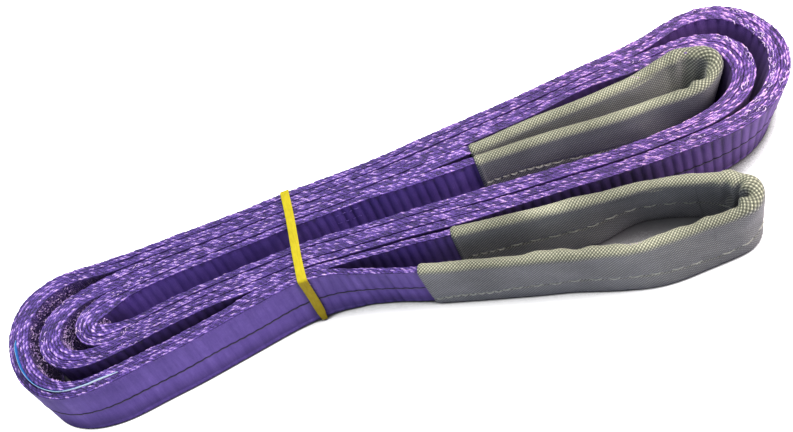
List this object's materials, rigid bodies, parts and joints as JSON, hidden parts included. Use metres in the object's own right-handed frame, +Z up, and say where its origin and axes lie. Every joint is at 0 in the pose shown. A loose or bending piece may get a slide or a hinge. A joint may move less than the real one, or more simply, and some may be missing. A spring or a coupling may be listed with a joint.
{
  "type": "flat web sling",
  "caption": "Flat woven lifting sling with a sleeved soft eye at each end, rolled on edge into a flat coil and held by an elastic band.",
  "frame": {"origin": "centre of the coil's bounding box on the ground plane", "axes": "+X along the coil towards the eyes, -Y the side the free eye lies on, +Z up across the web's width"},
  "size_m": [0.35, 0.1092, 0.0321],
  "materials": {
    "violet_web": "woven polyester webbing with crosswise ribs, plaited edges, slight sheen",
    "grey_sleeve": "coarse plain-weave sleeve fabric, grey-olive, matt",
    "pale_thread": "heavy sewing thread",
    "black_yarn": "black warp yarn woven into the web",
    "violet_thread": "sewing thread, tone on tone",
    "blue_label": "thin coated label fabric, no text",
    "yellow_band": "matt flat elastic"
  },
  "bodies": {
    "coil": {"buried_eye_base_stitching": "violet_thread", "buried_eye_seam": "pale_thread", "buried_eye_sleeve": "grey_sleeve", "buried_eye_web": "violet_web", "first_turn_inner_ply": "violet_web", "first_turn_outer_ply": "violet_web", "load_stripe_coil": "black_yarn", "second_turn_inner_ply_end": "violet_web", "second_turn_inner_ply_start": "violet_web", "second_turn_outer_ply": "violet_web", "third_turn_inner_ply": "violet_web", "third_turn_outer_ply": "violet_web"},
    "fold_a": {"unroll_fold_outer_ply_a": "violet_web", "unroll_fold_inner_ply_a": "violet_web", "load_stripe_fold_a": "black_yarn"},
    "fold_b": {"unroll_fold_outer_ply_b": "violet_web", "unroll_fold_inner_ply_b": "violet_web", "load_stripe_fold_b": "black_yarn", "identification_label": "blue_label"},
    "tail": {"tail_outer_ply": "violet_web", "tail_inner_ply": "violet_web", "load_stripe_tail": "black_yarn", "free_eye_base_stitching": "violet_thread"},
    "free_eye_rear": {"free_eye_divide_rear_ply": "violet_web", "free_eye_divide_front_ply": "violet_web", "load_stripe_divide": "black_yarn", "free_eye_rear_leg": "violet_web", "free_eye_rear_sleeve": "grey_sleeve", "free_eye_rear_seam": "pale_thread"},
    "free_eye_front": {"free_eye_front_leg": "violet_web", "free_eye_front_sleeve": "grey_sleeve", "free_eye_front_seam": "pale_thread", "load_stripe_front_leg": "black_yarn", "free_eye_tip": "violet_web", "free_eye_tip_sleeve": "grey_sleeve", "free_eye_tip_seam": "pale_thread"},
    "band": {"elastic_band": "yellow_band"}
  },
  "joints": [
    {"name": "tail_unroll_1", "type": "hinge", "parent": "coil", "child": "fold_a", "pos_m": [-0.16128, 0.03718, 0.0159], "axis": [0, 0, -1], "range_deg": [0, 60], "deforming": ["unroll_fold_outer_ply_a", "unroll_fold_inner_ply_a", "load_stripe_fold_a"]},
    {"name": "tail_unroll_2", "type": "hinge", "parent": "fold_a", "child": "fold_b", "pos_m": [-0.17099, 0.01405, 0.0159], "axis": [0, 0, -1], "range_deg": [0, 60], "deforming": ["unroll_fold_outer_ply_b", "unroll_fold_inner_ply_b", "load_stripe_fold_b", "identification_label"]},
    {"name": "tail_unroll_3", "type": "hinge", "parent": "fold_b", "child": "tail", "pos_m": [-0.15944, -0.01195, 0.0159], "axis": [0, 0, -1], "range_deg": [0, 60]},
    {"name": "free_eye_swing", "type": "hinge", "parent": "tail", "child": "free_eye_rear", "pos_m": [-0.03, -0.0056, 0.0159], "axis": [0, 0, -1], "range_deg": [0, 80], "deforming": ["free_eye_divide_rear_ply", "free_eye_divide_front_ply", "load_stripe_divide"]},
    {"name": "free_eye_open", "type": "hinge", "parent": "free_eye_rear", "child": "free_eye_front", "pos_m": [-0.0205, -0.0104, 0.0159], "axis": [0, 0, -1], "range_deg": [-3, 10], "deforming": ["free_eye_tip", "free_eye_tip_sleeve", "free_eye_tip_seam"]},
    {"name": "band_slide", "type": "slide", "parent": "coil", "child": "band", "axis": [1, 0, 0], "range_m": [-0.155, 0], "deforming": ["elastic_band"]}
  ],
  "couplings": [
    {"joint": "tail_unroll_2", "follows": "tail_unroll_1", "ratio": 1},
    {"joint": "tail_unroll_3", "follows": "tail_unroll_1", "ratio": 1}
  ]
}
